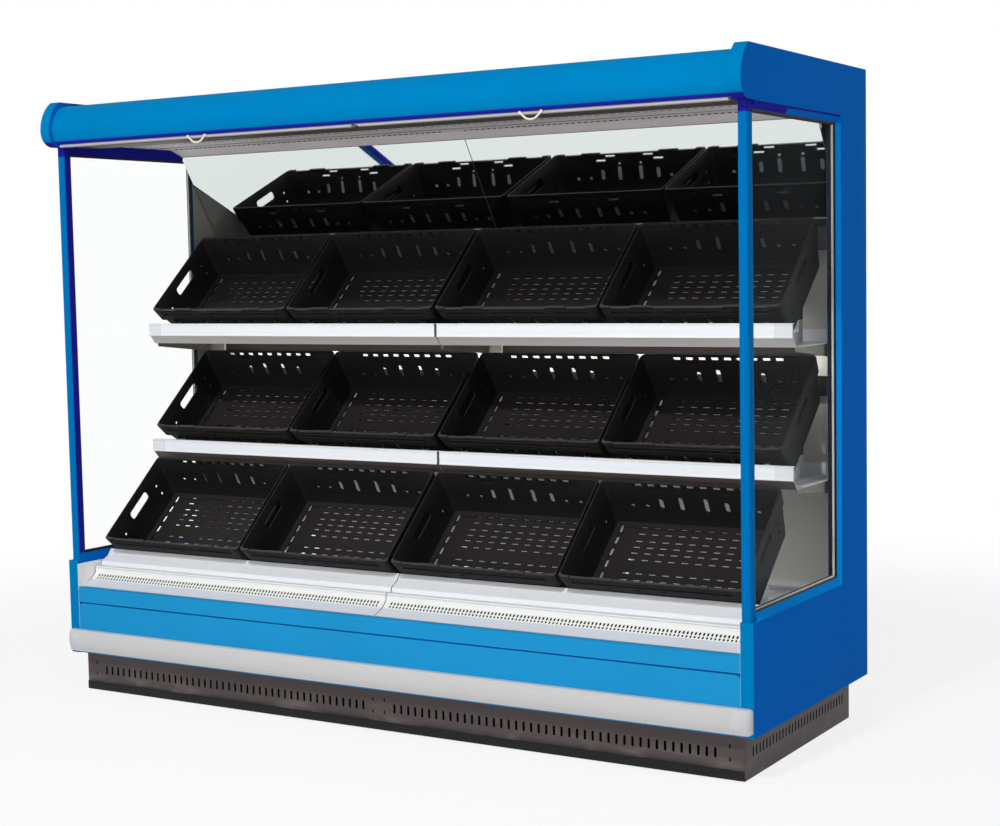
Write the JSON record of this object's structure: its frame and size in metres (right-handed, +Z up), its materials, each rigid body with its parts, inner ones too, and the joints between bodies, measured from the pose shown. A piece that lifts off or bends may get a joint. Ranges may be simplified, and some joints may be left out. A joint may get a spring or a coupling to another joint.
{
  "type": "refrigerated display case",
  "caption": "Blue open-front chilled display case with tilted black crates, glass ends, a mirror and night blinds.",
  "frame": {"origin": "middle of the base of the whole object's box, on the floor", "axes": "+Z up, -Y towards the customer, +X to the customer's right along the case"},
  "size_m": [2.58, 0.957, 2.04],
  "materials": {
    "blue_sheet": "satin powder coat",
    "white_sheet": "satin powder coat",
    "grey_sheet": "satin powder coat",
    "bumper_grey": "extruded bumper strip",
    "clear_grey": "translucent moulding",
    "crate_black": "fine moulded grain",
    "mirror_face": "silvered",
    "clear_glass": "clear, polished edges",
    "rail_white": "extruded ticket rail",
    "seal_grey": "ribbed seal",
    "steel": "galvanised",
    "aluminium": "anodised",
    "copper_pipe": "drawn tube",
    "fan_black": "moulded",
    "blind_cloth": "reflective woven cloth",
    "lamp_lens": "opal"
  },
  "bodies": {
    "case": {"air_honeycomb": "aluminium", "back_liner_left": "white_sheet", "back_liner_right": "white_sheet", "back_wall": "white_sheet", "base_frame": "steel", "blind_cloth_left": "blind_cloth", "blind_cloth_right": "blind_cloth", "bumper": "bumper_grey", "bumper_caps": "clear_grey", "canopy_fascia": "blue_sheet", "canopy_lamp": "lamp_lens", "canopy_soffit": "white_sheet", "deck_left": "white_sheet", "deck_right": "white_sheet", "end_left": "blue_sheet", "end_right": "blue_sheet", "evaporator": "aluminium", "fan_plate": "steel", "front_panel_lower": "blue_sheet", "front_panel_upper": "blue_sheet", "front_posts": "blue_sheet", "glass_left": "clear_glass", "glass_right": "clear_glass", "glass_seals": "seal_grey", "levelling_feet": "fan_black", "mirror_left": "mirror_face", "mirror_right": "mirror_face", "pipework": "copper_pipe", "plinth": "grey_sheet", "price_rails": "rail_white", "return_grille_left": "white_sheet", "return_grille_right": "white_sheet", "roller_brackets": "steel", "roof_panel": "white_sheet", "shelf_brackets": "white_sheet", "shelf_lower_left": "white_sheet", "shelf_lower_right": "white_sheet", "shelf_upper_left": "white_sheet", "shelf_upper_right": "white_sheet", "tub": "white_sheet", "uprights": "white_sheet"},
    "blind_bar_left": {"blind_bar_left": "aluminium"},
    "blind_bar_right": {"blind_bar_right": "aluminium"},
    "blind_roller_left": {"blind_roller_left": "aluminium"},
    "blind_roller_right": {"blind_roller_right": "aluminium"},
    "fan_left": {"fan_left": "fan_black"},
    "fan_right": {"fan_right": "fan_black"},
    "crate_upper_1": {"crate_upper_1": "crate_black"},
    "crate_upper_2": {"crate_upper_2": "crate_black"},
    "crate_upper_3": {"crate_upper_3": "crate_black"},
    "crate_upper_4": {"crate_upper_4": "crate_black"},
    "crate_lower_1": {"crate_lower_1": "crate_black"},
    "crate_lower_2": {"crate_lower_2": "crate_black"},
    "crate_lower_3": {"crate_lower_3": "crate_black"},
    "crate_lower_4": {"crate_lower_4": "crate_black"},
    "crate_deck_1": {"crate_deck_1": "crate_black"},
    "crate_deck_2": {"crate_deck_2": "crate_black"},
    "crate_deck_3": {"crate_deck_3": "crate_black"},
    "crate_deck_4": {"crate_deck_4": "crate_black"}
  },
  "joints": [
    {"name": "blind_pull_left", "type": "slide", "parent": "case", "child": "blind_bar_left", "axis": [0, 0, -1], "range_m": [0, 1.48], "stiffness_N_per_m": 12, "springref_m": -1.2, "deforming": ["blind_cloth_left"]},
    {"name": "blind_wind_left", "type": "hinge", "parent": "case", "child": "blind_roller_left", "pos_m": [-0.625, -0.4095, 1.95], "axis": [1, 0, 0], "range_deg": [0, 3500]},
    {"name": "fan_spin_left", "type": "hinge", "parent": "case", "child": "fan_left", "pos_m": [-0.625, -0.1355, 0.3045], "axis": [0, 1, 0], "continuous": true},
    {"name": "blind_pull_right", "type": "slide", "parent": "case", "child": "blind_bar_right", "axis": [0, 0, -1], "range_m": [0, 1.48], "stiffness_N_per_m": 12, "springref_m": -1.2, "deforming": ["blind_cloth_right"]},
    {"name": "blind_wind_right", "type": "hinge", "parent": "case", "child": "blind_roller_right", "pos_m": [0.625, -0.4095, 1.95], "axis": [1, 0, 0], "range_deg": [0, 3500]},
    {"name": "fan_spin_right", "type": "hinge", "parent": "case", "child": "fan_right", "pos_m": [0.625, -0.1355, 0.3045], "axis": [0, 1, 0], "continuous": true},
    {"name": "lift_crate_upper_1", "type": "slide", "parent": "case", "child": "crate_upper_1", "axis": [0, 0.6691, -0.7431], "range_m": [-0.25, 0]},
    {"name": "lift_crate_upper_2", "type": "slide", "parent": "case", "child": "crate_upper_2", "axis": [0, 0.6691, -0.7431], "range_m": [-0.25, 0]},
    {"name": "lift_crate_upper_3", "type": "slide", "parent": "case", "child": "crate_upper_3", "axis": [0, 0.6691, -0.7431], "range_m": [-0.25, 0]},
    {"name": "lift_crate_upper_4", "type": "slide", "parent": "case", "child": "crate_upper_4", "axis": [0, 0.6691, -0.7431], "range_m": [-0.25, 0]},
    {"name": "lift_crate_lower_1", "type": "slide", "parent": "case", "child": "crate_lower_1", "axis": [0, 0.6691, -0.7431], "range_m": [-0.04, 0]},
    {"name": "lift_crate_lower_2", "type": "slide", "parent": "case", "child": "crate_lower_2", "axis": [0, 0.6691, -0.7431], "range_m": [-0.04, 0]},
    {"name": "lift_crate_lower_3", "type": "slide", "parent": "case", "child": "crate_lower_3", "axis": [0, 0.6691, -0.7431], "range_m": [-0.04, 0]},
    {"name": "lift_crate_lower_4", "type": "slide", "parent": "case", "child": "crate_lower_4", "axis": [0, 0.6691, -0.7431], "range_m": [-0.04, 0]},
    {"name": "lift_crate_deck_1", "type": "slide", "parent": "case", "child": "crate_deck_1", "axis": [0, 0.6691, -0.7431], "range_m": [-0.25, 0]},
    {"name": "lift_crate_deck_2", "type": "slide", "parent": "case", "child": "crate_deck_2", "axis": [0, 0.6691, -0.7431], "range_m": [-0.25, 0]},
    {"name": "lift_crate_deck_3", "type": "slide", "parent": "case", "child": "crate_deck_3", "axis": [0, 0.6691, -0.7431], "range_m": [-0.25, 0]},
    {"name": "lift_crate_deck_4", "type": "slide", "parent": "case", "child": "crate_deck_4", "axis": [0, 0.6691, -0.7431], "range_m": [-0.25, 0]}
  ],
  "couplings": [
    {"joint": "blind_wind_left", "follows": "blind_pull_left", "rad_per_m": 40.816},
    {"joint": "blind_wind_right", "follows": "blind_pull_right", "rad_per_m": 40.816}
  ]
}
